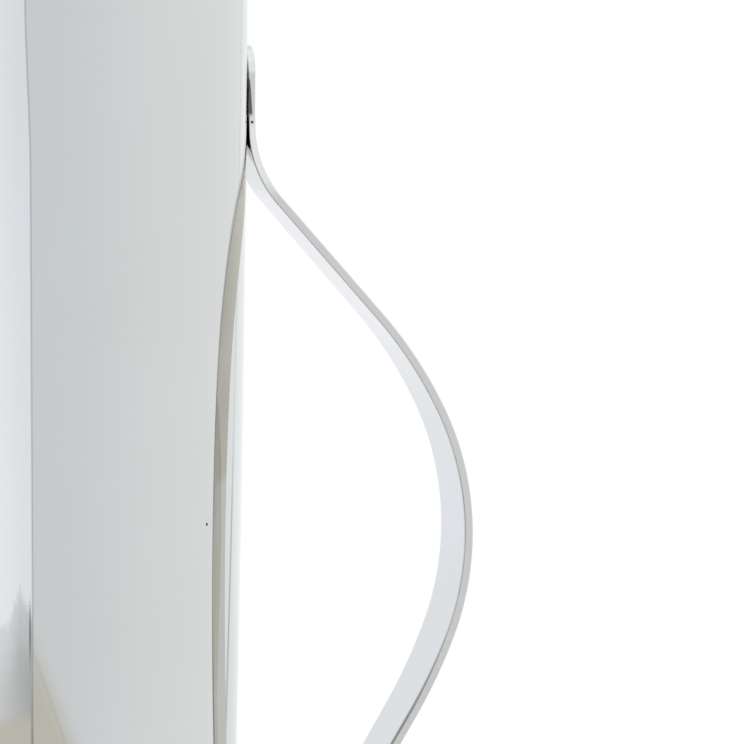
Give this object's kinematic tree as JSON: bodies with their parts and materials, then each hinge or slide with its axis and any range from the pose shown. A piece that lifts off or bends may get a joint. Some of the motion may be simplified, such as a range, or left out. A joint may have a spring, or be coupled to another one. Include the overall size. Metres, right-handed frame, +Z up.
{
  "type": "ewer",
  "caption": "Tall tapered metal ewer with a beaked pouring spout, a rim wire, a foot ring and a bowed flat strap handle riveted to the wall; it holds and pours water.",
  "frame": {"origin": "centre of the foot ring on the table, on the vessel's axis", "axes": "+Z up along the vessel's axis, +X towards the handle, -X towards the spout, +Y to the left seen from the spout's tip towards the handle"},
  "size_m": [0.1567, 0.0864, 0.308],
  "materials": {
    "wall_steel": "mirror polished sheet",
    "rim_steel": "mirror polished half-round wire",
    "base_steel": "spun, fine satin",
    "foot_steel": "turned and polished",
    "strap_steel": "polished faces, finely ground edges",
    "rivet_steel": "dressed flush and polished"
  },
  "bodies": {
    "root": {"body_shell": "wall_steel", "spout": "wall_steel", "rim_wire": "rim_steel", "base_disc": "base_steel", "foot_ring": "foot_steel", "handle_strap": "strap_steel", "upper_rivets": "rivet_steel", "lower_rivets": "rivet_steel"}
  },
  "joints": []
}
